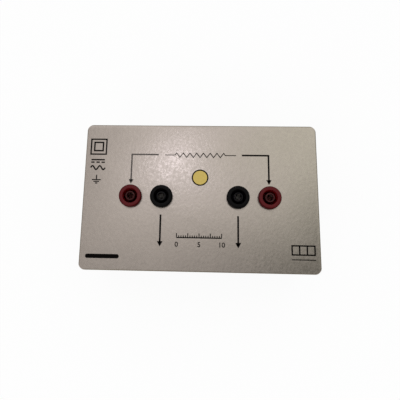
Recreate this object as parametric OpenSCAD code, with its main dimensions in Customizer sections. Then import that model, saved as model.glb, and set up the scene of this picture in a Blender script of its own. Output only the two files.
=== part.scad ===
// Current shunt in a flat box: two red sockets take the current through a folded
// resistance strip, and two black sockets give the voltage across it.
// The box stands on its feet at z = 0, with its middle on the z axis. The face plate
// looks up, +x is its right side and +y its rear side.

/* [Face plate] */
// Width of the face plate, left to right
plate_w = 151; // [146:1:170]
// Depth of the face plate, front to rear
plate_d = 95.5; // [92:0.5:110]
// Thickness of the face plate
plate_t = 1.5; // [1:0.1:2.5]
// Corner radius of the face plate
plate_r = 4; // [3:0.5:8]
// Chamfer round the top edge of the face plate
plate_chamfer = 0.5; // [0.1:0.1:0.8]
// How far the face plate stands past the case all round
plate_overhang = 0.3; // [0.1:0.1:0.8]
// Thickness of the adhesive film under the face plate
film_t = 0.2; // [0.1:0.05:0.4]
// How far the film stops short of the edge of the lid
film_inset = 1; // [0.5:0.5:3]
// Width of the film's opening round each socket barrel
film_gap = 0.6; // [0.2:0.1:1]

/* [Case] */
// Height of the lower shell, without its feet
tub_h = 44; // [42:1:60]
// Thickness of the lid's edge, which lies on the lower shell's rim
lid_edge_t = 2; // [1.5:0.1:4]
// Thickness of the lid's pad, which fits inside that rim
lid_pad_t = 1; // [0.8:0.1:2]
// Wall thickness of the lower shell
wall = 2.5; // [2.2:0.1:3]
// Floor thickness of the lower shell
floor_t = 2.5; // [2.2:0.1:4]
// Chamfer round the underside of the lower shell
base_chamfer = 1; // [0.4:0.1:1.5]
// Depth of the groove that marks the joint between the shell and its lid
seam_groove = 0.4; // [0.2:0.1:0.6]

/* [Case screws] */
// Outer radius of the screw pillars in the lower shell
pillar_r = 5.25; // [5:0.05:6.5]
// Distance from a case screw's axis to the inside of the walls
pillar_inset = 4.7; // [4.6:0.05:4.95]
// Outer radius of the threaded inserts under the lid
insert_r = 4.2; // [3.5:0.1:4.3]
// How far an insert hangs down under the lid
insert_h = 7; // [6:0.5:12]
// Radius of the stem that holds an insert in the lid
stem_r = 3; // [2.6:0.1:3.3]
// Length of that stem
stem_len = 1.8; // [1.2:0.1:2]
// Gap between an insert and the pillar under it
insert_gap = 0.1; // [0.05:0.05:0.3]
// Radius of a case screw's shank
case_screw_r = 1.7; // [1.5:0.1:2]
// Radius of a case screw's head
case_head_r = 3.3; // [3:0.1:3.6]
// Height of a case screw's head
case_head_h = 2.4; // [1.8:0.1:3]
// Width of the driver slots in all screw heads
slot_w = 0.8; // [0.5:0.1:1]
// Distance from a case screw's head to the insert that it is driven into
case_clamp = 16.3; // [12:0.1:20]
// Room between a case screw's tip and the lid's pad
case_tip_gap = 1.3; // [0.5:0.1:3]

/* [Feet] */
// Radius of a rubber foot
foot_r = 6; // [5:0.5:7]
// How far a foot stands out under the case
foot_out = 2.3; // [1.5:0.1:4]
// Depth of the recess that a foot is glued into
foot_recess = 1.2; // [0.8:0.1:1.5]
// Chamfer round a foot's underside
foot_chamfer = 0.6; // [0.2:0.1:1]
// Distance from a foot's middle to the case's left or right side
foot_inset_x = 17; // [17:0.5:30]
// Distance from a foot's middle to the case's front or rear side
foot_inset_y = 14.5; // [12:0.5:20]

/* [Vents] */
// Width of a vent slot
vent_w = 2; // [1.5:0.1:2.5]
// Distance from one vent slot to the next
vent_pitch = 6; // [5:0.5:7]
// Number of slots in the rear wall
rear_vents = 9; // [5:1:11]
// Height of the slots in the rear wall
rear_vent_len = 16; // [10:1:22]
// Number of slots in the floor
floor_vents = 7; // [3:1:9]
// Length of the slots in the floor
floor_vent_len = 24; // [16:1:30]

/* [Sockets] */
// Distance between the axes of the two voltage sockets
sense_spacing = 49; // [46:0.5:52]
// Distance from a voltage socket to the current socket beside it
socket_pitch = 20; // [19:0.5:22]
// How far the row of sockets lies in front of the plate's middle
row_front = 0.5; // [0:0.5:4]
// Radius of a socket's flange
flange_r = 7.25; // [6.8:0.05:8]
// Height of the flange above the face plate
flange_h = 3; // [2.4:0.1:4]
// Rounding of the flange's edge
flange_round = 0.8; // [0.4:0.1:1.2]
// Radius of a socket's threaded barrel
barrel_r = 6; // [5.7:0.1:6.4]
// Distance from the axis to the barrel's flat
barrel_flat = 5.5; // [5.2:0.1:5.6]
// Radius of the opening for a plug's sleeve
mouth_r = 4.4; // [4.1:0.05:4.6]
// Depth of the opening for a plug's sleeve
mouth_depth = 12; // [10:0.5:15]
// Chamfer round that opening
mouth_chamfer = 0.25; // [0.1:0.05:0.6]
// Width across the flats of the panel nut
panel_nut_af = 15; // [14:0.5:17]
// Thickness of the panel nut
panel_nut_t = 3; // [2:0.1:4]

/* [Contact guards] */
// Outer radius of the insulating guard over a contact
guard_r = 2.95; // [2.8:0.05:3.2]
// Radius of the guard's hole for a plug's pin
guard_bore_r = 2.2; // [2.17:0.01:2.25]
// How far the guard's tip lies under the flange's top
guard_drop = 0.6; // [0.3:0.1:2]
// Chamfer inside and outside at the guard's tip
guard_chamfer = 0.25; // [0.1:0.05:0.3]

/* [Contacts] */
// Outer radius of a contact's tube
contact_r = 2.5; // [2.4:0.05:2.6]
// Radius of the bore that takes a plug's pin
contact_bore_r = 2; // [1.98:0.01:2.05]
// Depth of that bore
contact_bore_depth = 17.3; // [16:0.1:19]
// Chamfer at the mouth of that bore
contact_chamfer = 0.2; // [0.1:0.05:0.3]
// How far the contact's tip lies under the guard's tip
contact_drop = 3; // [2:0.1:5]
// Metal between the end of the bore and the collar's seat
bore_floor = 1.2; // [0.8:0.1:3]
// Radius of the collar behind the socket body
collar_r = 4.5; // [3.5:0.1:5.5]
// Thickness of that collar
collar_t = 1.5; // [1:0.1:3]
// Radius of the stud at the contact's rear end
stud_r = 2.5; // [2.2:0.1:3]
// Length of that stud
stud_len = 11.5; // [11:0.5:14]

/* [Stud hardware] */
// Outer radius of a stud washer
washer_r = 5; // [4.6:0.1:5.5]
// Thickness of a stud washer
washer_t = 1; // [0.8:0.1:1.6]
// Outer radius of a stud lock washer
lock_r = 4.6; // [4.2:0.1:5]
// Thickness of a stud lock washer
lock_t = 1.2; // [0.8:0.1:1.5]
// Width of the split in a lock washer
lock_split = 1; // [0.6:0.1:1.4]
// Width across the flats of a stud nut
stud_nut_af = 8; // [7.5:0.5:9]
// Thickness of a stud nut
stud_nut_t = 4; // [3:0.1:5]

/* [Element] */
// Width of a bus bar
bar_w = 12; // [11:0.5:15]
// Thickness of a bus bar
bar_t = 4; // [3:0.5:5]
// Distance from a stud's axis to the bar's front end
bar_front = 8; // [6:0.5:12]
// How far the bar runs past the strip at the rear
bar_margin = 1; // [0.5:0.5:4]
// Distance from the row of sockets to the middle of the strip
element_back = 22.5; // [21:0.5:26]
// Width of the resistance strip
strip_w = 12; // [8:0.5:14]
// Thickness of the resistance strip
strip_t = 0.5; // [0.3:0.1:1]
// Length of strip that is brazed into each bar
strip_seat = 8; // [5:0.5:10]
// Radius of the strip's bends, at the middle of its thickness
bend_r = 4; // [2:0.5:5]
// Number of folds that hang down between the bars
folds = 3; // [2:1:3]
// Height of a fold
fold_drop = 14; // [11:0.5:18]

/* [Sense leads] */
// Gap from the strip's front edge to the sense screw's axis
sense_gap = 3.5; // [3:0.1:4.5]
// Radius of a sense screw's shank
sense_screw_r = 1.45; // [1.2:0.05:1.6]
// Length of a sense screw under its head
sense_screw_len = 6; // [5:0.5:8]
// Radius of a sense screw's head
sense_head_r = 2.75; // [2.4:0.05:3]
// Height of a sense screw's head
sense_head_h = 2; // [1.5:0.1:2.5]
// Thickness of the lock washer under a sense screw
sense_lock_t = 0.8; // [0.5:0.1:1]
// Radius of the ring on a bar's terminal
bar_ring_r = 3.1; // [2.8:0.1:3.5]
// Radius of the ring on a socket's terminal
stud_ring_r = 4.8; // [4.4:0.1:5.2]
// Thickness of the ring terminals
terminal_t = 0.8; // [0.6:0.1:1]
// Distance from a terminal's ring to its crimp
neck_len = 0.8; // [0.6:0.1:2]
// Width of that neck
neck_w = 2.6; // [2:0.1:3]
// Outer radius of a crimp
crimp_r = 1.5; // [1.3:0.1:1.8]
// Length of a crimp
crimp_len = 4.5; // [4:0.5:6]
// Radius of a sense wire
wire_r = 0.8; // [0.6:0.05:1]
// How far the wire's loop swings past its end
loop_reach = 9; // [5:0.5:11]
// Length of a heat shrink sleeve
sleeve_len = 5.5; // [4.5:0.5:7]
// Length of crimp that a sleeve covers
sleeve_grip = 2.5; // [1.5:0.1:2.8]
// Wall thickness of a sleeve
sleeve_wall = 0.3; // [0.2:0.05:0.35]

/* [Fits] */
// Gap between parts that slide or screw into each other
fit = 0.05; // [0.02:0.01:0.08]
// Gap round a barrel, a foot or the pad of the lid in its hole
seat_fit = 0.15; // [0.1:0.01:0.2]
// Gap round a stud or screw in a clearance hole
hole_fit = 0.25; // [0.15:0.05:0.35]

/* [Hidden] */
$fn = 64;

// Colours, as the object shows them or as such metals look
silver = [0.68, 0.64, 0.61];
charcoal = [0.16, 0.16, 0.17];
red = [0.45, 0.12, 0.15];
black = [0.08, 0.07, 0.08];
nickel = [0.72, 0.70, 0.66];
zinc = [0.70, 0.71, 0.73];
dark_zinc = [0.55, 0.56, 0.58];
tin = [0.78, 0.77, 0.75];
brass = [0.80, 0.65, 0.33];
manganin = [0.62, 0.50, 0.42];
film_white = [0.85, 0.83, 0.76];
wire_red = [0.75, 0.12, 0.12];

// How far a cut runs past the face that it opens
past = 1;
left = -1;
right = 1;

// Levels, from the table up to the top of the face plate
z_base = foot_out;
z_floor = z_base + floor_t;
z_rim = z_base + tub_h;
z_ceiling = z_rim - lid_pad_t;
z_film = z_rim + lid_edge_t;
z_plate = z_film + film_t;
z_panel = z_plate + plate_t;

// Outline of the case and of the space inside it
case_w = plate_w - 2 * plate_overhang;
case_d = plate_d - 2 * plate_overhang;
case_r = plate_r - plate_overhang;
cavity_w = case_w - 2 * wall;
cavity_d = case_d - 2 * wall;
cavity_r = max(case_r - wall, 0.3);

// Places of the case screws and the feet, on the right rear quarter
screw_x = cavity_w / 2 - pillar_inset;
screw_y = cavity_d / 2 - pillar_inset;
foot_x = case_w / 2 - foot_inset_x;
foot_y = case_d / 2 - foot_inset_y;
z_insert = z_ceiling - insert_h;
z_screw_seat = z_insert - case_clamp;
z_screw_tip = z_ceiling - case_tip_gap;

// Places of the sockets
sense_x = sense_spacing / 2;
current_x = sense_x + socket_pitch;
row_y = -row_front;
SOCKETS = [-current_x, -sense_x, sense_x, current_x];

// Levels of a socket and its contact, from its flange's top down to its stud's end
z_flange = z_panel + flange_h;
z_mouth = z_flange - mouth_depth;
z_guard = z_flange - guard_drop;
z_contact = z_guard - contact_drop;
z_bore_end = z_contact - contact_bore_depth;
z_seat = z_bore_end - bore_floor;
z_barrel_end = z_seat + collar_t;
stud_hole_r = stud_r + hole_fit;

// Places of the bars and the strip
z_strip = z_seat - bar_t / 2;
strip_y = row_y + element_back;
sense_y = strip_y - strip_w / 2 - sense_gap;
bar_inner_x = current_x - bar_w / 2;
folds_x = 2 * bend_r * folds;
z_vents = z_strip - fold_drop / 2;

// Places along a terminal, from its ring's middle, and its crimp's height over its seat
crimp_z = sleeve_wall + 2 * fit + crimp_r;
function crimp_start(ring_r) = ring_r + neck_len;
function crimp_end(ring_r) = crimp_start(ring_r) + crimp_len;
function sleeve_start(ring_r) = crimp_end(ring_r) - sleeve_grip;
function sleeve_end(ring_r) = sleeve_start(ring_r) + sleeve_len;

// Is this socket one of the two that carry the current?
function carries_current(x) = abs(x) > (sense_x + current_x) / 2;
// Level of the face that a stud's washer presses on
function z_washer(x) = z_seat - (carries_current(x) ? bar_t : terminal_t);

// Slab with rounded corners, standing on z = 0
module rounded_slab(w, d, h, r) {
    translate([-w / 2, r - d / 2, 0]) cube([w, d - 2 * r, h]);
    translate([r - w / 2, -d / 2, 0]) cube([w - 2 * r, d, h]);
    at_corners(w / 2 - r, d / 2 - r) cylinder(r = r, h = h);
}

// The same slab with a chamfer round its lower edge, its upper edge or both
module chamfered_slab(w, d, h, r, low, high) {
    chamfered_bar(w, d - 2 * r, h, low, high);
    rotate([0, 0, 90]) chamfered_bar(d, w - 2 * r, h, low, high);
    at_corners(w / 2 - r, d / 2 - r) {
        translate([0, 0, low]) cylinder(r = r, h = h - low - high);
        if (low > 0) cylinder(r1 = r - low, r2 = r, h = low);
        if (high > 0) translate([0, 0, h - high]) cylinder(r1 = r, r2 = r - high, h = high);
    }
}

// Bar along y whose two long sides are chamfered below and above
module chamfered_bar(w, len, h, low, high) {
    rotate([90, 0, 0]) linear_extrude(len, center = true) polygon(concat(
        low > 0 ? [[-w / 2, low], [low - w / 2, 0], [w / 2 - low, 0], [w / 2, low]]
                : [[-w / 2, 0], [w / 2, 0]],
        high > 0 ? [[w / 2, h - high], [w / 2 - high, h], [high - w / 2, h], [-w / 2, h - high]]
                 : [[w / 2, h], [-w / 2, h]]));
}

module at_corners(x, y) {
    for (sx = [left, right], sy = [-1, 1]) translate([sx * x, sy * y, 0]) children();
}

module at_sockets() {
    for (x = SOCKETS) translate([x, row_y, 0]) children();
}

// Round bar with one flat, on the side of +y
module d_bar(r, flat, h) {
    difference() {
        cylinder(r = r, h = h);
        translate([-r, flat, -past]) cube([2 * r, r, h + 2 * past]);
    }
}

// Holes for all four barrels, through what lies from z upwards
module barrel_holes(z, h) {
    at_sockets() translate([0, 0, z - past])
        d_bar(barrel_r + seat_fit, barrel_flat + seat_fit, h + 2 * past);
}

module washer(outer_r, inner_r, h) {
    difference() {
        cylinder(r = outer_r, h = h);
        translate([0, 0, -past]) cylinder(r = inner_r, h = h + 2 * past);
    }
}

module split_washer(outer_r, inner_r, h) {
    difference() {
        washer(outer_r, inner_r, h);
        translate([0, -lock_split / 2, -past]) cube([outer_r + past, lock_split, h + 2 * past]);
    }
}

module hex_nut(af, bore_r, h) {
    difference() {
        cylinder(r = af / 2 / cos(30), h = h, $fn = 6);
        translate([0, 0, -past]) cylinder(r = bore_r, h = h + 2 * past);
    }
}

module face_plate() {
    color(silver) difference() {
        translate([0, 0, z_plate])
            chamfered_slab(plate_w, plate_d, plate_t, plate_r, 0, plate_chamfer);
        barrel_holes(z_plate, plate_t);
    }
}

module adhesive_film() {
    color(film_white) difference() {
        translate([0, 0, z_film]) rounded_slab(case_w - 2 * film_inset,
            case_d - 2 * film_inset, film_t, case_r - film_inset);
        at_sockets() translate([0, 0, z_film - past])
            cylinder(r = barrel_r + film_gap, h = film_t + 2 * past);
    }
}

module lid() {
    color(charcoal) difference() {
        union() {
            translate([0, 0, z_rim])
                chamfered_slab(case_w, case_d, lid_edge_t, case_r, seam_groove, 0);
            translate([0, 0, z_ceiling]) rounded_slab(cavity_w - 2 * seat_fit,
                cavity_d - 2 * seat_fit, lid_pad_t + lid_edge_t / 2, cavity_r);
        }
        at_corners(screw_x, screw_y) translate([0, 0, z_ceiling - past])
            cylinder(r = stem_r + fit, h = stem_len + past);
        barrel_holes(z_ceiling, lid_pad_t + lid_edge_t);
    }
}

module threaded_inserts() {
    color(brass) at_corners(screw_x, screw_y) difference() {
        union() {
            translate([0, 0, z_insert]) cylinder(r = insert_r, h = insert_h);
            translate([0, 0, z_insert + insert_h / 2])
                cylinder(r = stem_r, h = insert_h / 2 + stem_len);
        }
        translate([0, 0, z_insert - past]) cylinder(r = case_screw_r + fit, h = insert_h + past);
    }
}

module case_tub() {
    color(charcoal) difference() {
        union() {
            difference() {
                translate([0, 0, z_base]) chamfered_slab(case_w, case_d, tub_h, case_r,
                    base_chamfer, seam_groove);
                translate([0, 0, z_floor]) rounded_slab(cavity_w, cavity_d,
                    z_rim - z_floor + past, cavity_r);
            }
            at_corners(screw_x, screw_y) translate([0, 0, z_floor - floor_t / 2])
                cylinder(r = pillar_r, h = z_insert - insert_gap - z_floor + floor_t / 2);
        }
        at_corners(screw_x, screw_y) {
            translate([0, 0, z_base - past])
                cylinder(r = case_head_r + hole_fit, h = z_screw_seat - z_base + past);
            translate([0, 0, z_base]) cylinder(r = case_screw_r + hole_fit, h = z_insert - z_base);
        }
        at_corners(foot_x, foot_y) translate([0, 0, z_base - past])
            cylinder(r = foot_r + seat_fit, h = foot_recess + past);
        vent_row(rear_vents) translate([0, case_d / 2 + past, z_vents]) rotate([90, 0, 0])
            vent_slot(rear_vent_len, wall + 2 * past);
        vent_row(floor_vents) translate([0, strip_y, z_base - past])
            vent_slot(floor_vent_len, floor_t + 2 * past);
    }
}

module vent_row(count) {
    for (i = [0 : count - 1]) translate([(i - (count - 1) / 2) * vent_pitch, 0, 0]) children();
}

// Slot with round ends, cut along y and as deep as h
module vent_slot(len, h) {
    translate([-vent_w / 2, (vent_w - len) / 2, 0]) cube([vent_w, len - vent_w, h]);
    for (end = [-1, 1]) translate([0, end * (len - vent_w) / 2, 0]) cylinder(r = vent_w / 2, h = h);
}

module case_screws() {
    color(zinc) at_corners(screw_x, screw_y) difference() {
        union() {
            translate([0, 0, z_screw_seat - case_head_h])
                cylinder(r = case_head_r, h = case_head_h);
            translate([0, 0, z_screw_seat])
                cylinder(r = case_screw_r, h = z_screw_tip - z_screw_seat);
        }
        for (turn = [0, 90]) rotate([0, 0, turn])
            translate([-case_head_r / 2, -slot_w / 2, z_screw_seat - case_head_h - past])
            cube([case_head_r, slot_w, case_head_h / 2 + past]);
    }
}

module foot(sx, sy) {
    color(black) translate([sx * foot_x, sy * foot_y, 0]) {
        cylinder(r1 = foot_r - foot_chamfer, r2 = foot_r, h = foot_chamfer);
        translate([0, 0, foot_chamfer])
            cylinder(r = foot_r, h = foot_out + foot_recess - foot_chamfer);
    }
}

// Flange with a rounded edge, as half of its section
function flange_outline() = concat(
    [[0, 0], [flange_r, 0]],
    [for (a = [0 : 15 : 90]) [flange_r - flange_round * (1 - cos(a)),
        flange_h - flange_round * (1 - sin(a))]],
    [[0, flange_h]]);

// Opening that takes a plug's sleeve, as half of its section
function mouth_outline() = [
    [0, flange_h + past],
    [mouth_r + mouth_chamfer, flange_h + past],
    [mouth_r + mouth_chamfer, flange_h],
    [mouth_r, flange_h - mouth_chamfer],
    [mouth_r, flange_h - mouth_depth],
    [0, flange_h - mouth_depth]];

module socket_body(x, tint) {
    color(tint) translate([x, row_y, z_panel]) difference() {
        union() {
            rotate_extrude() polygon(flange_outline());
            translate([0, 0, z_barrel_end - z_panel])
                d_bar(barrel_r, barrel_flat, z_panel - z_barrel_end + flange_h / 2);
        }
        rotate_extrude() polygon(mouth_outline());
        translate([0, 0, z_barrel_end - z_panel - past])
            cylinder(r = contact_r + fit, h = z_mouth - z_barrel_end + 2 * past);
    }
}

module socket_contact(x) {
    color(nickel) translate([x, row_y, 0]) difference() {
        union() {
            translate([0, 0, z_seat - stud_len]) cylinder(r = stud_r, h = stud_len + collar_t / 2);
            translate([0, 0, z_seat]) cylinder(r = collar_r, h = collar_t);
            translate([0, 0, z_seat]) cylinder(r = contact_r, h = z_contact - z_seat);
        }
        translate([0, 0, z_bore_end])
            cylinder(r = contact_bore_r, h = contact_bore_depth + past);
        translate([0, 0, z_contact - contact_chamfer]) cylinder(r1 = contact_bore_r,
            r2 = contact_bore_r + contact_chamfer, h = contact_chamfer);
    }
}

// Sleeve over a contact's tube, with a shoulder on its tip, as half of its section
function guard_outline() = [
    [contact_r + fit, z_mouth],
    [guard_r, z_mouth],
    [guard_r, z_guard - guard_chamfer],
    [guard_r - guard_chamfer, z_guard],
    [guard_bore_r + guard_chamfer, z_guard],
    [guard_bore_r, z_guard - guard_chamfer],
    [guard_bore_r, z_contact],
    [contact_r + fit, z_contact]];

module contact_guards() {
    color(black) at_sockets() rotate_extrude() polygon(guard_outline());
}

module panel_nuts() {
    color(nickel) at_sockets() translate([0, 0, z_ceiling - panel_nut_t])
        hex_nut(panel_nut_af, barrel_r + fit, panel_nut_t);
}

module stud_washers() {
    color(zinc) for (x = SOCKETS)
        translate([x, row_y, z_washer(x) - washer_t]) washer(washer_r, stud_hole_r, washer_t);
}

module stud_lock_washers() {
    color(dark_zinc) for (x = SOCKETS)
        translate([x, row_y, z_washer(x) - washer_t - lock_t])
        split_washer(lock_r, stud_hole_r, lock_t);
}

module stud_nuts() {
    color(zinc) for (x = SOCKETS)
        translate([x, row_y, z_washer(x) - washer_t - lock_t - stud_nut_t])
        hex_nut(stud_nut_af, stud_r + fit, stud_nut_t);
}

module bus_bar(side) {
    color(brass) difference() {
        translate([side * current_x - bar_w / 2, row_y - bar_front, z_seat - bar_t])
            cube([bar_w, bar_front + element_back + strip_w / 2 + bar_margin, bar_t]);
        translate([side * current_x, row_y, z_seat - bar_t - past])
            cylinder(r = stud_hole_r, h = bar_t + 2 * past);
        translate([side * current_x, sense_y, z_seat - bar_t - past])
            cylinder(r = sense_screw_r + fit, h = bar_t + 2 * past);
        translate([side * (bar_inner_x + strip_seat / 2 - past / 2), strip_y, z_strip])
            cube([strip_seat + past, strip_w + 2 * fit, strip_t + 2 * fit], center = true);
    }
}

// One bend of the strip round [x, z], turned from start by angle
module strip_bend(x, z, start, angle) {
    translate([x, strip_y + strip_w / 2, z]) rotate([90, 0, 0]) rotate([0, 0, start])
        rotate_extrude(angle = angle) translate([bend_r - strip_t / 2, 0])
        square([strip_t, strip_w]);
}

module strip_box(x, z, w, h) {
    translate([x - w / 2, strip_y - strip_w / 2, z - h / 2]) cube([w, strip_w, h]);
}

module resistance_strip() {
    z_high = z_strip - bend_r;
    z_low = z_strip - fold_drop + bend_r;
    flat_end = bar_inner_x + strip_seat - fit;
    color(manganin) {
        for (side = [left, right])
            strip_box(side * (flat_end + folds_x) / 2, z_strip, flat_end - folds_x, strip_t);
        strip_bend(-folds_x, z_high, 0, 90);
        strip_bend(folds_x, z_high, 90, 90);
        for (i = [0 : folds - 1]) {
            x = -folds_x + 4 * bend_r * i;
            strip_box(x + bend_r, (z_high + z_low) / 2, strip_t, z_high - z_low);
            strip_box(x + 3 * bend_r, (z_high + z_low) / 2, strip_t, z_high - z_low);
            strip_bend(x + 2 * bend_r, z_low, 180, 180);
            if (i < folds - 1) strip_bend(x + 4 * bend_r, z_high, 0, 180);
        }
    }
}

module at_sense_screws() {
    for (side = [left, right]) translate([side * current_x, sense_y, z_seat + terminal_t])
        children();
}

module sense_screws() {
    color(zinc) at_sense_screws() difference() {
        union() {
            translate([0, 0, sense_lock_t]) cylinder(r = sense_head_r, h = sense_head_h);
            translate([0, 0, sense_lock_t - sense_screw_len])
                cylinder(r = sense_screw_r, h = sense_screw_len + sense_head_h / 4);
        }
        translate([-sense_head_r - past, -slot_w / 2, sense_lock_t + sense_head_h / 2])
            cube([2 * (sense_head_r + past), slot_w, sense_head_h]);
    }
}

module sense_lock_washers() {
    color(dark_zinc) at_sense_screws()
        split_washer(sense_head_r, sense_screw_r + hole_fit, sense_lock_t);
}

// Ring terminal that lies on z = 0 with its crimp towards +x
module ring_terminal(ring_r, hole_r) {
    color(tin) difference() {
        union() {
            cylinder(r = ring_r, h = terminal_t);
            translate([0, -neck_w / 2, 0])
                cube([sleeve_start(ring_r) - fit, neck_w, terminal_t]);
            translate([crimp_start(ring_r), 0, crimp_z]) rotate([0, 90, 0])
                cylinder(r = crimp_r, h = crimp_len);
        }
        translate([0, 0, -past]) cylinder(r = hole_r, h = terminal_t + 2 * past);
        translate([crimp_start(ring_r) - past, 0, crimp_z]) rotate([0, 90, 0])
            cylinder(r = wire_r + fit, h = crimp_len + 2 * past);
    }
}

// Places its child, drawn for a terminal at the origin, at the bar's sense screw
module at_bar_terminal(side) {
    translate([side * current_x, sense_y, z_seat]) rotate([0, 0, side == left ? 0 : 180])
        children();
}

// The same under a voltage socket's collar, where the terminal hangs upside down
module at_stud_terminal(side) {
    translate([side * sense_x, row_y, z_seat]) rotate([180, 0, side == left ? 0 : 180])
        children();
}

module bar_terminal(side) {
    at_bar_terminal(side) ring_terminal(bar_ring_r, sense_screw_r + hole_fit);
}

module stud_terminal(side) {
    at_stud_terminal(side) ring_terminal(stud_ring_r, stud_hole_r);
}

// Sleeve over the end of a crimp, drawn for a terminal at the origin
module sleeve(ring_r) {
    wide = crimp_r + fit;
    narrow = wire_r + fit;
    taper_start = sleeve_grip + fit;
    taper_end = taper_start + crimp_r - wire_r;
    color(black) translate([sleeve_start(ring_r), 0, crimp_z])
        rotate([0, 90, 0]) rotate_extrude() polygon([
            [wide, 0], [wide + sleeve_wall, 0], [wide + sleeve_wall, taper_start + sleeve_wall],
            [narrow + sleeve_wall, taper_end + sleeve_wall], [narrow + sleeve_wall, sleeve_len],
            [narrow, sleeve_len], [narrow, taper_end], [wide, taper_start]]);
}

module heat_shrink_sleeves() {
    for (side = [left, right]) {
        at_bar_terminal(side) sleeve(bar_ring_r);
        at_stud_terminal(side) sleeve(stud_ring_r);
    }
}

// Route of a sense wire: straight out of one crimp, round in a loop, straight into the other
wire_steps = 14;
wire_sides = 10;
function bezier(a, b, c, d, t) =
    a * pow(1 - t, 3) + b * 3 * t * pow(1 - t, 2) + c * 3 * t * t * (1 - t) + d * pow(t, 3);
function wire_route(side) =
    let (bar_end = current_x - sleeve_end(bar_ring_r) - fit,
        stud_end = sense_x - sleeve_end(stud_ring_r) - fit,
        z_bar = z_seat + crimp_z,
        z_stud = z_seat - crimp_z,
        from = [side * bar_end, sense_y, z_bar],
        to = [side * stud_end, row_y, z_stud],
        out = [side * (stud_end - loop_reach), sense_y, z_bar],
        back = [side * (stud_end - loop_reach), row_y, z_stud])
    concat(
        [[side * (current_x - crimp_start(bar_ring_r)), sense_y, z_bar]],
        [for (i = [0 : wire_steps]) bezier(from, out, back, to, i / wire_steps)],
        [[side * (sense_x - crimp_start(stud_ring_r)), row_y, z_stud]]);

// Tube of the given radius along a route that never stands upright
module tube(route, r, sides) {
    last = len(route) - 1;
    rings = [for (i = [0 : last])
        let (run = route[min(i + 1, last)] - route[max(i - 1, 0)],
            along = run / norm(run),
            across = cross(along, [0, 0, 1]) / norm(cross(along, [0, 0, 1])),
            up = cross(across, along))
        for (j = [0 : sides - 1])
            route[i] + r * (across * cos(360 * j / sides) + up * sin(360 * j / sides))];
    skin = [for (i = [0 : last - 1], j = [0 : sides - 1])
        let (a = i * sides + j, b = i * sides + (j + 1) % sides)
        each [[a, a + sides, b], [b, a + sides, b + sides]]];
    ends = [[for (j = [0 : sides - 1]) j], [for (j = [0 : sides - 1]) (last + 1) * sides - 1 - j]];
    polyhedron(rings, concat(skin, ends));
}

module sense_wire(side) {
    color(wire_red) tube(wire_route(side), wire_r, wire_sides);
}

face_plate();
adhesive_film();
lid();
threaded_inserts();
case_tub();
case_screws();
foot(left, -1);  // front_left_foot
foot(right, -1);  // front_right_foot
foot(left, 1);  // rear_left_foot
foot(right, 1);  // rear_right_foot
socket_body(-current_x, red);  // red_left_socket
socket_body(-sense_x, black);  // black_left_socket
socket_body(sense_x, black);  // black_right_socket
socket_body(current_x, red);  // red_right_socket
socket_contact(-current_x);  // red_left_contact
socket_contact(-sense_x);  // black_left_contact
socket_contact(sense_x);  // black_right_contact
socket_contact(current_x);  // red_right_contact
contact_guards();
panel_nuts();
stud_washers();
stud_lock_washers();
stud_nuts();
bus_bar(left);  // left_bus_bar
bus_bar(right);  // right_bus_bar
resistance_strip();
sense_screws();
sense_lock_washers();
bar_terminal(left);  // left_bar_terminal
bar_terminal(right);  // right_bar_terminal
stud_terminal(left);  // left_stud_terminal
stud_terminal(right);  // right_stud_terminal
sense_wire(left);  // left_sense_wire
sense_wire(right);  // right_sense_wire
heat_shrink_sleeves();
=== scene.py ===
"""Looks of a bench current shunt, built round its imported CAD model.

A flat case with a printed metal plate on top carries two red sockets for the current
and two black ones for the voltage. Lengths are in metres, in the frame of the model.
"""
import math

import bmesh
import bpy
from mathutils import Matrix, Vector


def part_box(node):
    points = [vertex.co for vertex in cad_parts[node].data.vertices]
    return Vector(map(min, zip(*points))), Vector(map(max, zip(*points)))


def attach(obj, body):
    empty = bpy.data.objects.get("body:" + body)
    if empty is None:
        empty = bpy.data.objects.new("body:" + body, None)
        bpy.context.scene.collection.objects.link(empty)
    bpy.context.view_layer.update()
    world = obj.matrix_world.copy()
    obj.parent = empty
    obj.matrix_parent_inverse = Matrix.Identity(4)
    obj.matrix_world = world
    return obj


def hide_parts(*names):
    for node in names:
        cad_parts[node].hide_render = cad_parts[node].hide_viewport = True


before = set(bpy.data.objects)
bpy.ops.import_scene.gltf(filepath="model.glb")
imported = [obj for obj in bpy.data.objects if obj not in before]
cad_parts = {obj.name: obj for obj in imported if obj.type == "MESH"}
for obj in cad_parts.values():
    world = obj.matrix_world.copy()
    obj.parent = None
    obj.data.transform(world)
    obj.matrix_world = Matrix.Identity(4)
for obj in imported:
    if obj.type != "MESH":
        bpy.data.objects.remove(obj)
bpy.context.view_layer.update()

# Camera. It stands over the front half of the plate and tips back a little, close
# enough for the front edge of the plate to look longer than the rear edge.
MM = 0.001
CAMERA_PLACE = Vector((-1.685, -44.594, 289.983)) * MM
CAMERA_TILT = [math.radians(turn) for turn in (10.5982, 2.0402, 1.2328)]
CAMERA_LENS = 34.2
CAMERA_SHIFT = (0.04475, -0.0104)

bpy.ops.object.select_all(action="DESELECT")
bpy.ops.object.camera_add(location=CAMERA_PLACE, rotation=CAMERA_TILT)
camera = bpy.context.object
camera.data.lens = CAMERA_LENS
camera.data.shift_x, camera.data.shift_y = CAMERA_SHIFT
bpy.context.scene.camera = camera
bpy.context.scene.view_settings.view_transform = "Standard"


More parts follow.
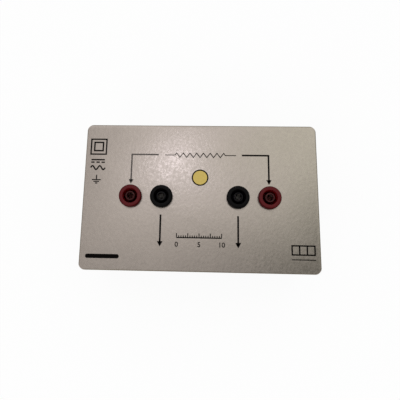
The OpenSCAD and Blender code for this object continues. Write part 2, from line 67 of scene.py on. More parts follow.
# Floor and room. A white floor takes the shadow, and the walls are white at the height
# of the horizon. The ceiling is dimmer, most of all over the front right of the object.
class Value:
    """A socket of a shader. A sum of values adds the Math nodes that it needs."""

    def __init__(self, socket):
        self.socket = socket

    def out(self, name):
        return Value(self.socket.node.outputs[name])

    def maths(self, operation, *terms):
        shader = Shader(self.socket.id_data)
        return shader.add("ShaderNodeMath", dict(enumerate(terms)), operation=operation)

    def __add__(self, other):
        return self.maths("ADD", self, other)

    __radd__ = __add__

    def __sub__(self, other):
        return self.maths("SUBTRACT", self, other)

    def __rsub__(self, other):
        return self.maths("SUBTRACT", other, self)

    def __mul__(self, other):
        return self.maths("MULTIPLY", self, other)

    __rmul__ = __mul__

    def __abs__(self):
        return self.maths("ABSOLUTE", self)

    def least(self, other):
        return self.maths("MINIMUM", self, other)

    def most(self, other):
        return self.maths("MAXIMUM", self, other)


class Shader:
    """The nodes of a material or of the world."""

    def __init__(self, tree):
        self.tree = tree

    def add(self, kind, sockets, output=0, **settings):
        """Adds a node: first its settings, then the values or links of its sockets."""
        node = self.tree.nodes.new(kind)
        for name, setting in settings.items():
            setattr(node, name, setting)
        self.join(node, sockets)
        return Value(node.outputs[output])

    def join(self, node, sockets):
        """Links values to a node's sockets, or sets numbers, vectors and colours there."""
        for name, value in sockets.items():
            if isinstance(value, Value):
                self.tree.links.new(value.socket, node.inputs[name])
            elif node.inputs[name].type == "RGBA":
                node.inputs[name].default_value = (*value, 1)
            else:
                node.inputs[name].default_value = value

    def axes(self, vector):
        """The three parts of a vector."""
        x = self.add("ShaderNodeSeparateXYZ", {0: vector}, "X")
        return x, x.out("Y"), x.out("Z")

    def rise(self, value, low, high):
        """0 below low and 1 above high, with a smooth step between them."""
        return self.add("ShaderNodeMapRange", {"Value": value, "From Min": low, "From Max": high},
                        interpolation_type="SMOOTHSTEP")

    def blend(self, share, one, other):
        """Colour one where share is 0, the other where it is 1."""
        return self.add("ShaderNodeMix", {0: share, 6: one, 7: other}, 2, data_type="RGBA")


def add(name, make, **settings):
    """Adds a form with an operator, and puts its place and size in its data."""
    bpy.ops.object.select_all(action="DESELECT")
    make(**settings)
    bpy.ops.object.transform_apply()
    bpy.context.object.name = name
    return bpy.context.object


WHITE = (1, 1, 1)
FLOOR_WIDTH = 30
FLOOR_GLOW = 0.93
HORIZON_BAND = (0.5, 0.75)
FRONT_BAND = (-0.14, 0.0)
RIGHT_BAND = (0.1, 0.32)
CEILING_ABOVE = 0.82
CEILING_LEAST = 0.15
CEILING_TINT = (1.0, 1.05, 0.96)

floor = add("floor", bpy.ops.mesh.primitive_plane_add, size=FLOOR_WIDTH)
white = bpy.data.materials.new("white_floor")
white.use_nodes = True
floor.data.materials.append(white)
paint = Shader(white.node_tree)
ray = paint.add("ShaderNodeLightPath", {}, "Is Camera Ray")
seen = ray.most(ray.out("Is Glossy Ray")).most(ray.out("Is Transmission Ray"))
lit = paint.add("ShaderNodeBsdfDiffuse", {"Color": WHITE})
plain = paint.add("ShaderNodeEmission", {"Color": WHITE, "Strength": 1})
mixed = paint.add("ShaderNodeMixShader", {0: FLOOR_GLOW * seen, 1: lit, 2: plain})
paint.join(white.node_tree.nodes["Material Output"], {"Surface": mixed})

room = bpy.data.worlds.new("studio_room")
room.use_nodes = True
bpy.context.scene.world = room
light = Shader(room.node_tree)
sight = light.add("ShaderNodeTexCoord", {}, "Generated")
right, back, up = light.axes(sight)
wall = 1 - light.rise(up, *HORIZON_BAND)
ceiling = CEILING_ABOVE - 0.44 * right - 1.2 * right * right + 0.8 * back + 2.2 * right * back
ceiling = ceiling - (0.15 - 0.3 * right) * (1 - light.rise(back, *FRONT_BAND))
ceiling = ceiling.most(CEILING_LEAST).least(1.0)
tinted = light.rise(right, *RIGHT_BAND) * (1 - wall)
light.join(room.node_tree.nodes["Background"],
           {"Color": light.blend(tinted, WHITE, CEILING_TINT),
            "Strength": ceiling + (1 - ceiling) * wall})


LAMP_TARGET = Vector((0, 0, 50))


def softbox(name, place, size, watts, tint):
    """Hangs a round lamp at a place, in millimetres, aimed at the middle of the plate."""
    aim = (LAMP_TARGET - Vector(place)).to_track_quat("-Z", "Y").to_euler()
    bpy.ops.object.light_add(type="AREA", location=Vector(place) * MM, rotation=aim)
    lamp = bpy.context.object
    lamp.name = name
    lamp.data.shape = "DISK"
    lamp.data.size = size * MM
    lamp.data.energy = watts
    lamp.data.color = tint
    lamp.visible_camera = False


softbox("ceiling_lamp", (-50, 224, 650), size=110, watts=0.1, tint=(0.80, 0.80, 0.95))
softbox("front_softbox", (-500, -1000, 900), size=700, watts=2.5, tint=WHITE)

# Face plate. Satin aluminium sheet with round corners and a broken top edge, pierced
# with a flatted hole for each socket. Adhesive film holds it on the lid.
TINY = 0.001 * MM
SMOOTH_BELOW = math.radians(35)
SOCKETS = {"red_left": "red", "black_left": "black", "black_right": "black", "red_right": "red"}
plate_low, plate_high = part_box("face_plate")
plate_corner = 4 * MM
plate_edge = 0.5 * MM
plate_under_edge = 0.1 * MM
# How far in from the border of the plate the painted shade reaches.
painted_edge_shade_reach = (0.35 * MM, 0.75 * MM)
barrel_hole_r = 6.15 * MM
barrel_hole_flat = 5.65 * MM


def axis(node):
    """The upright axis through the middle of a node, as its point at height 0."""
    low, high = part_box(node)
    return Vector(((low.x + high.x) / 2, (low.y + high.y) / 2, 0))


def block(name, low, high):
    """Adds a box between two corners."""
    size = Vector(high) - Vector(low)
    return add(name, bpy.ops.mesh.primitive_cube_add, size=1, scale=size,
               location=(Vector(low) + Vector(high)) / 2)


def select(kind, test):
    """In edit mode, selects only the points, edges or faces that pass the test."""
    bpy.ops.object.mode_set(mode="EDIT")
    bpy.ops.mesh.select_mode(type=kind)
    bpy.ops.mesh.select_all(action="DESELECT")
    shape = bmesh.from_edit_mesh(bpy.context.object.data)
    for part in {"VERT": shape.verts, "EDGE": shape.edges, "FACE": shape.faces}[kind]:
        if test(part):
            part.select_set(True)
    shape.select_flush_mode()
    bmesh.update_edit_mesh(bpy.context.object.data)


def upright(edge):
    return (edge.verts[0].co - edge.verts[1].co).xy.length < TINY


def at_height(height):
    return lambda part: all(abs(point.co.z - height) < TINY for point in part.verts)


def bevel(*edges):
    """Bevels the newest piece: the edges that pass a test, by a width, in some segments."""
    for test, width, segments in edges:
        select("EDGE", test)
        bpy.ops.mesh.bevel(offset=width, segments=segments)
    bpy.ops.object.mode_set(mode="OBJECT")


def cut(piece, cutter, operation="DIFFERENCE"):
    """Takes the cutter's shape out of the piece, or joins it to the piece."""
    change = piece.modifiers.new("cut", "BOOLEAN")
    change.operation = operation
    change.object = cutter
    bpy.context.view_layer.objects.active = piece
    bpy.ops.object.modifier_apply(modifier=change.name)
    bpy.data.objects.remove(cutter)


def round_bar(name, place, radius, low, high, sides=96, turn=0):
    """Adds an upright bar of the given radius between two heights."""
    return add(name, bpy.ops.mesh.primitive_cylinder_add, vertices=sides, radius=radius,
               depth=high - low, location=(place.x, place.y, (low + high) / 2),
               rotation=(0, 0, turn))


def barrel_hole(place, low, high):
    """Adds the cutter of a socket's hole: a bar with a flat along its rear side."""
    bar = round_bar("barrel_hole", place, barrel_hole_r, low - MM, high + MM)
    bpy.ops.object.mode_set(mode="EDIT")
    bpy.ops.mesh.select_all(action="SELECT")
    bpy.ops.mesh.bisect(plane_co=place + Vector((0, barrel_hole_flat, 0)), plane_no=(0, 1, 0),
                        use_fill=True, clear_outer=True)
    bpy.ops.object.mode_set(mode="OBJECT")
    return bar


def take(*pieces):
    """Selects the given pieces alone, and makes the first one active."""
    bpy.ops.object.select_all(action="DESELECT")
    for piece in pieces:
        piece.select_set(True)
    bpy.context.view_layer.objects.active = pieces[0]


def weld():
    """In edit mode, joins points that lie together and turns every face outwards."""
    bpy.ops.mesh.select_mode(type="VERT")
    bpy.ops.mesh.select_all(action="SELECT")
    bpy.ops.mesh.remove_doubles(threshold=TINY)
    bpy.ops.mesh.normals_make_consistent()


def fit_piece(piece, surface, slot, *nodes):
    """Welds a finished piece, and gives it its material and its place on the object."""
    take(piece)
    bpy.ops.object.mode_set(mode="EDIT")
    weld()
    bpy.ops.object.mode_set(mode="OBJECT")
    bpy.ops.object.shade_smooth_by_angle(angle=SMOOTH_BELOW)
    piece.data.materials.clear()
    piece.data.materials.append(surface)
    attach(piece, "root")
    if nodes:
        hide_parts(*nodes)


class Finish(Shader):
    """A material whose nodes shape the colour, gloss and relief of one finish."""

    def __init__(self, name):
        self.material = bpy.data.materials.new(name)
        self.material.use_nodes = True
        super().__init__(self.material.node_tree)
        self.place = self.add("ShaderNodeTexCoord", {}, "Object")

    def stretched(self, x, y, z):
        """The place on the piece, drawn out where a factor is small."""
        return self.add("ShaderNodeMapping", {0: self.place, "Scale": (x, y, z)})

    def noise(self, size, detail=2, place=None):
        """Soft spots from 0 to 1, about as wide as the given size in millimetres."""
        return self.add("ShaderNodeTexNoise", {
            "Vector": place or self.place, "Scale": 1 / (size * MM), "Detail": detail})

    def relief(self, height, depth):
        """Bumps from a value of 0 to 1, with the given depth in millimetres."""
        return self.add("ShaderNodeBump", {"Height": height, "Distance": depth * MM})

    def coat(self, share, one, other, height, depth, **sockets):
        """Blends two colours, adds relief, and sets sockets, named with _ for a space."""
        named = {name.replace("_", " "): value for name, value in sockets.items()}
        self.join(self.tree.nodes["Principled BSDF"], {
            "Base Color": self.blend(share, one, other),
            "Normal": self.relief(height, depth), **named})
        return self.material


socket_place = {socket: axis(socket + "_contact") for socket in SOCKETS}
plate = block("printed_plate", plate_low, plate_high)
bevel((upright, plate_corner, 12), (at_height(plate_high.z), plate_edge, 4),
      (at_height(plate_low.z), plate_under_edge, 1))
for place in socket_place.values():
    cut(plate, barrel_hole(place, plate_low.z, plate_high.z))

satin = Finish("satin_aluminium")
grain = satin.noise(1.5, 1, satin.stretched(1, 0.7, 1))
spark = satin.rise(satin.noise(1.5, 1), 0.3, 0.7)
cloud = satin.noise(22, 3)
x, y = satin.axes(satin.place)[:2]
side_gap = plate_high.x - abs(x)
end_gap = plate_high.y - abs(y)
# Along the border of the plate the colour is painted darker and browner, as painted shade on the
# rounded edge, and the roughness is raised there.
edge = 1 - satin.rise(side_gap.least(end_gap), *painted_edge_shade_reach)
face = satin.blend(0.6 * grain + 0.4 * cloud, (0.395, 0.344, 0.305), (0.520, 0.453, 0.402))
satin_aluminium = satin.coat(edge, face, (0.20, 0.17, 0.13), grain, 0.052, Metallic=1.0,
                             Roughness=0.25 + 0.08 * spark + 0.15 * edge)
fit_piece(plate, satin_aluminium, "plate", "face_plate")

# Printed marks. Black enamel, screened on the plate as a skin: leaders from the element
# to the red sockets, arrows for the voltage taps, and the common symbols of the family.
INK = 0.04 * MM
INK_SUNK = 0.02 * MM
LINE = 0.95
earth_x = -67.5
earth_bars = ((2.95, 10.1), (1.85, 8.95), (0.85, 7.85))
leader_y = 27.5
resistor_y = 27.3
scale_half = 14.2
scale_y = -26.6
numeral_h = 4.4
field_low = -36.0
field_high = -30.4
bar_y = -39.1
bar_r = 1.35
spot_middle = (0.2, 12.3)
spot_ring_r = 5.0
# The middle and reach of a painted highlight of the glare on the ink.
painted_glare_x = -33 * MM
painted_glare_y = 22 * MM
painted_glare_reach = (9 * MM, 34 * MM)


def on_plate(x, y):
    """A place on the plate, given in millimetres from its middle."""
    return Vector((x * MM, y * MM, plate_high.z - INK_SUNK))


def chain(name, points):
    """Adds a row of points joined by edges, left selected in edit mode."""
    row = add(name, bpy.ops.mesh.primitive_plane_add, size=MM, location=points[0])
    bpy.ops.object.mode_set(mode="EDIT")
    bpy.ops.mesh.select_mode(type="VERT")
    bpy.ops.mesh.select_all(action="SELECT")
    bpy.ops.mesh.merge(type="CENTER")
    for start, end in zip(points, points[1:]):
        bpy.ops.mesh.extrude_vertices_move(TRANSFORM_OT_translate={"value": end - start})
    weld()
    return row


def pull(x, y, z):
    """In edit mode, extrudes what is selected."""
    bpy.ops.mesh.extrude_region_move(TRANSFORM_OT_translate={"value": (x, y, z)})


def thicken(sheet, thickness):
    """Makes a plate of the sheet in edit mode, half of it on each side of the sheet."""
    weld()
    bpy.ops.object.mode_set(mode="OBJECT")
    change = sheet.modifiers.new("thickness", "SOLIDIFY")
    change.thickness = thickness
    change.offset = 0
    change.use_even_offset = True
    bpy.ops.object.modifier_apply(modifier=change.name)


def printed_line(points, width=LINE):
    """Prints a line through points of the plate, closed where it ends at its start."""
    line = chain("printed_line", [on_plate(x, y) for x, y in points])
    pull(0, 0, INK)
    thicken(line, width * MM)
    return line


def printed_patch(points):
    """Prints a filled patch with the given corners."""
    patch = chain("printed_patch", [on_plate(x, y) for x, y in points + points[:1]])
    bpy.ops.mesh.edge_face_add()
    pull(0, 0, INK)
    bpy.ops.object.mode_set(mode="OBJECT")
    return patch


def printed_box(x0, y0, x1, y1, width):
    return printed_line([(x0, y0), (x1, y0), (x1, y1), (x0, y1), (x0, y0)], width)


def arrow(points, long, wide, line):
    """Prints a line that ends in an arrowhead pointing to the front."""
    x, y = points[-1]
    shaft = printed_line(points[:-1] + [(x, y + long / 2)], line)
    return [shaft, printed_patch([(x, y), (x + wide / 2, y + long), (x - wide / 2, y + long)])]


def numeral(text, x):
    """Prints a number under a place on the scale."""
    bpy.ops.object.select_all(action="DESELECT")
    place = on_plate(x, scale_y - numeral_h)
    bpy.ops.object.text_add(location=place + Vector((0, 0, INK / 2)))
    label = bpy.context.object
    label.data.body = text
    label.data.size = numeral_h * MM
    label.data.extrude = INK / 2
    label.data.offset = 0.08 * MM
    label.data.resolution_u = 4
    label.data.align_x = label.data.align_y = "CENTER"
    bpy.ops.object.convert(target="MESH")
    bpy.ops.object.transform_apply()
    return bpy.context.object


def wave(x, y, length, height, turns):
    """Points of a sine wave that runs to the right from its start."""
    count = 16 * turns
    return [(x + length * i / count, y + height / 2 * math.sin(2 * math.pi * turns * i / count))
            for i in range(count + 1)]


def zigzag(x, y, tooth, height, teeth):
    """Points of a zigzag between two short straight ends on one level."""
    tips = [(x + tooth * (i + 0.5), y + height / 2 * (-1) ** i) for i in range(teeth)]
    return [(x, y)] + tips + [(x + tooth * teeth, y)]


marks = [printed_box(-72.2, 27.4, -62.0, 37.7, LINE), printed_box(-69.9, 29.8, -64.2, 35.5, 1.0)]
marks += [printed_line([(-71.6, 23.6), (-62.6, 23.6)])]
marks += [printed_line([(x, 21.9), (x + 2.2, 21.9)]) for x in (-71.6, -68.2, -64.8)]
marks += [printed_line(wave(x=-71.8, y=18.2, length=9.6, height=2.6, turns=2))]
marks += [printed_line([(earth_x, 13.4), (earth_x, earth_bars[0][1])], width=0.7)]
marks += [printed_line([(earth_x - half, y), (earth_x + half, y)], width=0.7)
          for half, y in earth_bars]
marks += arrow([(-27.1, leader_y), (-44.7, leader_y), (-44.7, 7.7)], long=3.0, wide=3.3, line=1.0)
marks += arrow([(27.2, leader_y), (44.4, leader_y), (44.4, 8.0)], long=3.2, wide=3.4, line=1.1)
marks += arrow([(-24.7, -12.15), (-24.7, -32.4)], long=3.3, wide=3.7, line=1.15)
marks += arrow([(24.55, -12.4), (24.55, -32.7)], long=3.4, wide=3.7, line=1.1)
resistor = zigzag(x=-16.5, y=resistor_y, tooth=2.2, height=3.0, teeth=15)
marks += [printed_line([(-23.0, resistor_y)] + resistor + [(23.5, resistor_y)], width=0.55)]
marks += [printed_line([(-scale_half, scale_y), (scale_half, scale_y)], width=0.75)]
for count in range(-10, 11):
    x = scale_half * count / 10
    marks += [printed_line([(x, scale_y), (x, scale_y + (1.4 if count % 5 else 2.8))], width=0.6)]
marks += [numeral("0", -scale_half), numeral("5", 0), numeral("10", scale_half)]
marks += [printed_box(57.8, field_low, 71.8, field_high, 0.9)]
marks += [printed_line([(x, field_low), (x, field_high)], width=0.9) for x in (62.4, 67.1)]
marks += [printed_line([(57.4, -39.0), (72.2, -39.0)], width=0.6)]
bar_end = [(bar_r * math.sin(math.pi * i / 8), bar_r * math.cos(math.pi * i / 8)) for i in range(9)]
marks += [printed_patch([(-70.3 - x, bar_y - y) for x, y in bar_end]
                        + [(-51.5 + x, bar_y + y) for x, y in bar_end])]
ring = [(spot_middle[0] + spot_ring_r * math.cos(math.pi * i / 24),
         spot_middle[1] + spot_ring_r * math.sin(math.pi * i / 24)) for i in range(49)]
marks += [printed_line(ring, width=0.85)]

take(*marks)
bpy.ops.object.join()
print_skin = bpy.context.object
print_skin.name = "printed_marks"

enamel = Finish("black_enamel")
patchy = enamel.noise(0.5)
x, y = enamel.axes(enamel.place)[:2]
# Round a place left of the rear leader the ink is painted paler, as a painted highlight where the
# glare falls on it.
across = x - painted_glare_x
along = y - painted_glare_y
away = x.maths("SQRT", across * across + along * along)
wear_and_painted_glare = 1 - enamel.rise(away, *painted_glare_reach)
black_enamel = enamel.coat(
    wear_and_painted_glare * (0.4 + 0.6 * patchy), (0.0016, 0.0008, 0.0006), (0.160, 0.140, 0.132), patchy, 0.004,
    Roughness=0.38 + 0.16 * patchy, Specular_IOR_Level=0.04)
fit_piece(print_skin, black_enamel, "ink")

# Yellow spot. A round patch of yellow enamel between the black sockets, under the black
# ring of the print, that draws the eye to the voltage taps.
spot_r = 4.85 * MM
spot_low = on_plate(*spot_middle)
spot_top = spot_low.z + INK_SUNK + INK / 4
yellow_spot = round_bar("yellow_spot", spot_low, spot_r, spot_low.z, spot_top)
bevel((at_height(spot_top), INK / 8, 1))
enamel = Finish("yellow_enamel")
patchy = enamel.noise(0.8, 3)
yellow_enamel = enamel.coat(
    patchy, (0.56, 0.40, 0.085), (0.69, 0.52, 0.14), patchy, 0.004,
    Roughness=0.36 + 0.14 * patchy, Specular_IOR_Level=0.35)
fit_piece(yellow_spot, yellow_enamel, "label_yellow")

# Socket bodies. Turned from nylon rod, two red and two black: a flange with a dull round
# edge, painted darker as painted shade, a deep mouth for a plug's sleeve, whose walls are
# painted lighter as painted light that falls into it, and a threaded barrel with a flat behind.
TURN_STEPS = 72
ROUNDING_STEPS = 4
flange_r = 7.25 * MM
flange_round = 0.75 * MM
# How far in from the flange's edge the painted shade reaches.
painted_shade_rim_reach = 0.6 * flange_round
mouth_r = 4.4 * MM
mouth_depth = 12 * MM
mouth_lip = 0.45 * MM
mouth_lead = 1.8 * MM
barrel_r = 6 * MM
barrel_flat = 5.5 * MM
barrel_pitch = 1 * MM
barrel_thread = 0.45 * MM
barrel_lead = 0.6 * MM
tube_hole_r = 2.55 * MM
panel_low, panel_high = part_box("panel_nuts")
nut_grip = 4 * MM


def turned(name, place, outline, hollow=False):
    """Turns a piece on an upright axis from (radius, height, rounding) points."""
    points = [Vector((place.x + radius, place.y, place.z + height))
              for radius, height, rounding in outline]
    piece = chain(name, points + points[:1] if hollow else points)
    for point, (radius, height, rounding) in zip(points, outline):
        if rounding:
            select("VERT", lambda part: (part.co - point).length < TINY)
            bpy.ops.mesh.bevel(affect="VERTICES", offset=rounding, segments=ROUNDING_STEPS)
    bpy.ops.mesh.select_all(action="SELECT")
    bpy.ops.mesh.spin(steps=TURN_STEPS, angle=2 * math.pi, center=place, axis=(0, 0, 1))
    weld()
    bpy.ops.object.mode_set(mode="OBJECT")
    return piece


def line_with(piece, finish, test):
    """Gives the faces that pass a test a finish of their own."""
    piece.data.materials.append(finish)
    select("FACE", test)
    piece.active_material_index = len(piece.data.materials) - 1
    bpy.ops.object.material_slot_assign()
    bpy.ops.object.mode_set(mode="OBJECT")


def reach(face, place):
    """How far the middle of a face lies from an upright axis."""
    return (face.calc_center_median() - place).xy.length


def thread(radius, depth, pitch, start, end):
    """Points of a thread's crests and roots along an outline."""
    turns = round(abs(end - start) / pitch)
    step = (end - start) / turns
    return [(radius - depth * (i % 2), start + i * step / 2, 0) for i in range(2 * turns + 1)]


def moulded(name, dark, light, gloss, sheen):
    """Plastic with cloudy colour, a fine skin and a few dull rub marks."""
    plastic = Finish(name)
    cloud = plastic.noise(5, 3)
    skin = plastic.noise(0.5)
    rub = plastic.rise(plastic.noise(2.4, 4, plastic.stretched(1, 0.2, 1)), 0.62, 0.72)
    return plastic.coat(cloud, dark, light, skin + 0.3 * rub, 0.006,
                        Roughness=gloss + 0.1 * skin + 0.12 * rub, Specular_IOR_Level=sheen)


barrel_low, flange_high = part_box("red_left_socket")
mouth_end = flange_high.z - mouth_depth
body_outline = [(tube_hole_r, barrel_low.z, 0), (barrel_r - barrel_lead, barrel_low.z, 0)]
body_outline += thread(barrel_r, barrel_thread, barrel_pitch, barrel_low.z + barrel_lead,
                       panel_high.z - nut_grip)
body_outline += [(barrel_r, panel_high.z + 0.2 * MM, 0), (barrel_r, plate_high.z, 0),
                 (flange_r, plate_high.z, 0.15 * MM), (flange_r, flange_high.z, flange_round),
                 (mouth_r + mouth_lip, flange_high.z, 0.08 * MM),
                 (mouth_r, flange_high.z - mouth_lead, 0.08 * MM),
                 (mouth_r, mouth_end, 0.2 * MM), (tube_hole_r, mouth_end, 0)]
nylon = {
    "red": moulded("red_nylon", (0.078, 0.0016, 0.0032), (0.102, 0.0036, 0.0052), 0.34, 0.2),
    "black": moulded("black_nylon", (0.0009, 0.0005, 0.0006), (0.0016, 0.0010, 0.0011), 0.34, 0.09)}
# The walls of the mouth are painted much lighter than the body, deep red or bluish grey, as painted
# light that falls into the mouth.
mouth_painted_light = {
    "red": moulded("red_mouth_painted_light", (0.20, 0.0008, 0.0008), (0.26, 0.0012, 0.0012), 0.4, 0.05),
    "black": moulded("mouth_painted_light", (0.0120, 0.0080, 0.0135), (0.0160, 0.0110, 0.0180), 0.4, 0.08)}
# The round edge of the flange is painted darker, as painted shade, and has less sheen.
rim_painted_shade = {
    "red": moulded("red_rim_painted_shade", (0.038, 0.0008, 0.0014), (0.052, 0.0014, 0.0020), 0.45, 0.05),
    "black": moulded("black_rim_painted_shade", (0.0006, 0.0004, 0.0004), (0.0010, 0.0007, 0.0007), 0.45, 0.05)}
for socket, tint in SOCKETS.items():
    place = socket_place[socket]
    body = turned(socket + "_body", place, body_outline, hollow=True)
    cut(body, block("flat", place + Vector((-2 * barrel_r, barrel_flat, barrel_low.z - MM)),
                    place + Vector((2 * barrel_r, 2 * barrel_r, plate_high.z))))
    fit_piece(body, nylon[tint], "socket_" + tint, socket + "_socket")
    # The mouth's walls take the painted light.
    line_with(body, mouth_painted_light[tint], lambda face: reach(face, place) < mouth_r + TINY
              and face.calc_center_median().z > mouth_end - TINY)
    # The flange's round edge takes the painted shade.
    line_with(body, rim_painted_shade[tint], lambda face: reach(face, place) > flange_r - painted_shade_rim_reach
              and face.calc_center_median().z > plate_high.z)

# Contacts. Brass tubes, turned and nickel plated, that take a plug's pin. A collar seats
# behind the barrel and a threaded stud carries the washers and the nut.
tube_r = 2.5 * MM
bore_r = 2 * MM
bore_lip = 0.2 * MM
collar_r = 4.5 * MM
stud_r = 2.5 * MM
stud_pitch = 0.8 * MM
stud_thread = 0.35 * MM
stud_lead = 0.5 * MM
stud_neck = 0.6 * MM
collar_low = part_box("left_bus_bar")[1].z
collar_high = barrel_low.z
tube_low, tube_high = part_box("red_left_contact")
bore_end = tube_high.z - 17.3 * MM

tube_outline = [(0, tube_low.z, 0), (stud_r - stud_lead, tube_low.z, 0)]
tube_outline += thread(stud_r, stud_thread, stud_pitch, tube_low.z + stud_lead,
                       collar_low - stud_neck)
tube_outline += [(stud_r, collar_low, 0), (collar_r, collar_low, 0.15 * MM),
                 (collar_r, collar_high, 0.15 * MM), (tube_r, collar_high, 0),
                 (tube_r, tube_high.z, 0.08 * MM), (bore_r + bore_lip, tube_high.z, 0),
                 (bore_r, tube_high.z - bore_lip, 0), (bore_r, bore_end, 0),
                 (0, bore_end - 0.6 * MM, 0)]


def turned_metal(name, dark, light, gloss, ring=0.12):
    """Plated metal with the fine rings that a lathe leaves round its axis."""
    metal = Finish(name)
    rings = metal.noise(ring, 1, metal.stretched(0.03, 0.03, 1))
    cloud = metal.noise(2.5, 3)
    return metal.coat(cloud, dark, light, rings, 0.005, Metallic=1.0,
                      Roughness=gloss + 0.12 * cloud)


nickel = turned_metal("nickel_plate", (0.50, 0.46, 0.40), (0.64, 0.60, 0.54), 0.2)
# Inside the bores the nickel is painted darker, as painted shade deep in them, and in the red
# sockets reddish too, as a painted reflection of the red nylon.
bore_painted_shade = {
    "red": turned_metal("red_bore_painted_shade", (0.30, 0.15, 0.14), (0.47, 0.25, 0.235), 0.28),
    "black": turned_metal("bore_painted_shade", (0.32, 0.31, 0.295), (0.50, 0.48, 0.46), 0.28)}
for socket, tint in SOCKETS.items():
    place = socket_place[socket]
    tube = turned(socket + "_tube", place, tube_outline)
    fit_piece(tube, nickel, "nickel", socket + "_contact")
    line_with(tube, bore_painted_shade[tint], lambda face: reach(face, place) < bore_r + TINY
              and face.calc_center_median().z > bore_end - MM)

# Contact guards. Dark nylon sleeves pushed over the tips of the contacts, with a
# shoulder in front of the metal, so that no finger can touch it.
guard_r = 2.95 * MM
guard_hole_r = 2.2 * MM
guard_low, guard_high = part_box("contact_guards")
guard_outline = [(tube_hole_r, guard_low.z, 0), (guard_r, guard_low.z, 0.1 * MM),
                 (guard_r, guard_high.z, 0.22 * MM), (guard_hole_r, guard_high.z, 0.22 * MM),
                 (guard_hole_r, tube_high.z, 0), (tube_hole_r, tube_high.z, 0)]
# In the red sockets the guards are coloured red-brown, as a painted reflection of the red walls
# round them; the black ones keep the sleeves' own dark colour.
guard_nylon = {
    "red": moulded("red_guard_painted_reflection", (0.042, 0.0095, 0.0095), (0.064, 0.0155, 0.0155), 0.4, 0.14),
    "black": moulded("guard_nylon", (0.0024, 0.0018, 0.0024), (0.0045, 0.0036, 0.0045), 0.4, 0.14)}
for socket, tint in SOCKETS.items():
    guard = turned(socket + "_guard", socket_place[socket], guard_outline, hollow=True)
    fit_piece(guard, guard_nylon[tint], "guard", "contact_guards")

# Adhesive film. A thin double-sided sheet of pale acrylic under the plate, a little
# smaller than the lid and cut out round each barrel.
film_low, film_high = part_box("adhesive_film")
film_corner = 2.7 * MM
film_hole_r = 6.6 * MM
film = block("acrylic_film", film_low, film_high)
bevel((upright, film_corner, 8))
for place in socket_place.values():
    cut(film, round_bar("hole", place, film_hole_r, film_low.z - MM, film_high.z + MM))
sheet = Finish("acrylic_film")
streak = sheet.noise(3, 3, sheet.stretched(1, 0.15, 1))
acrylic = sheet.coat(streak, (0.60, 0.57, 0.48), (0.70, 0.68, 0.60), streak, 0.01,
                     Roughness=0.3 + 0.3 * streak)
fit_piece(film, acrylic, "film", "adhesive_film")

# Lid. Moulded in charcoal plastic: a flat cover whose edge lies on the shell's rim and
# whose pad drops inside it, bored for the barrels and for the stems of the inserts.
lid_low, lid_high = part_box("lid")
case_corner = 3.7 * MM
lid_edge = 0.15 * MM
seam = 0.4 * MM
wall = 2.5 * MM
pad_gap = 0.15 * MM
pad_h = 1 * MM
rim = lid_low.z + pad_h
stem_hole_r = 3.05 * MM
insert_r = 4.2 * MM
insert_low, insert_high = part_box("threaded_inserts")
insert_places = [Vector((x, y, 0)) for x in (insert_low.x + insert_r, insert_high.x - insert_r)
                 for y in (insert_low.y + insert_r, insert_high.y - insert_r)]
scuff_reach = 0.9 * MM


def step(height, margin, rise):
    """Raises or sinks the newest piece's face at a height, but for a margin round it."""
    select("FACE", at_height(height))
    bpy.ops.mesh.inset(thickness=margin)
    pull(0, 0, rise)
    bpy.ops.object.mode_set(mode="OBJECT")


lid = block("moulded_lid", (lid_low.x, lid_low.y, rim), lid_high)
bevel((upright, case_corner, 10), (at_height(rim), seam, 1), (at_height(lid_high.z), lid_edge, 2))
step(rim, wall + pad_gap - seam, -pad_h)
for place in socket_place.values():
    cut(lid, barrel_hole(place, lid_low.z, lid_high.z))
for place in insert_places:
    cut(lid, round_bar("hole", place, stem_hole_r, lid_low.z - MM, insert_high.z))

# Charcoal from a spark-eroded mould, rubbed paler along the upright corners
plastic = Finish("charcoal_plastic")
cloud = plastic.noise(14, 3)
skin = plastic.noise(0.45)
x, y = plastic.axes(plastic.place)[:2]
side = abs(x) - (lid_high.x - scuff_reach)
end = abs(y) - (lid_high.y - scuff_reach)
corner = plastic.rise(side.least(end), 0, scuff_reach)
scuff = corner * plastic.rise(plastic.noise(1.6, 4), 0.45, 0.65)
handled = plastic.rise(plastic.noise(16, 5), 0.35, 0.7)
base = plastic.blend(0.5 * cloud + 0.5 * skin, (0.012, 0.012, 0.013), (0.026, 0.026, 0.028))
charcoal = plastic.coat(
    0.6 * scuff, base, (0.11, 0.11, 0.115), skin, 0.05,
    Roughness=0.52 + 0.16 * skin - 0.1 * scuff - 0.06 * handled, Specular_IOR_Level=0.4)
fit_piece(lid, charcoal, "case", "lid")

# Threaded inserts. Brass, pressed by their knurled stems into blind holes of the lid.
# The case screws are driven up into them.
insert_bore_r = 1.75 * MM
insert_lead = 0.3 * MM
stem_r = 3 * MM
neck = 0.3 * MM
insert_outline = [
    (0, lid_low.z, 0), (insert_bore_r, lid_low.z, 0),
    (insert_bore_r, insert_low.z + insert_lead, 0), (insert_bore_r + insert_lead, insert_low.z, 0),
    (insert_r, insert_low.z, 0.25 * MM), (insert_r, lid_low.z, 0.15 * MM),
    (stem_r - neck, lid_low.z, 0), (stem_r - neck, lid_low.z + neck, 0),
    (stem_r, lid_low.z + 0.5 * MM, 0), (stem_r, insert_high.z, 0.2 * MM), (0, insert_high.z, 0)]
brass_turned = turned_metal("turned_brass", (0.60, 0.40, 0.15), (0.76, 0.55, 0.25), 0.24)
for number, place in enumerate(insert_places, 1):
    insert = turned(f"threaded_insert_{number}", place, insert_outline)
    fit_piece(insert, brass_turned, "bus_brass", "threaded_inserts")

# Panel nuts. Nickel-plated brass hexagons, one on each barrel, tightened against the
# inside of the lid so that plate and lid are held under the flange.
panel_across = panel_high.y - panel_low.y
thread_gap = 0.05 * MM


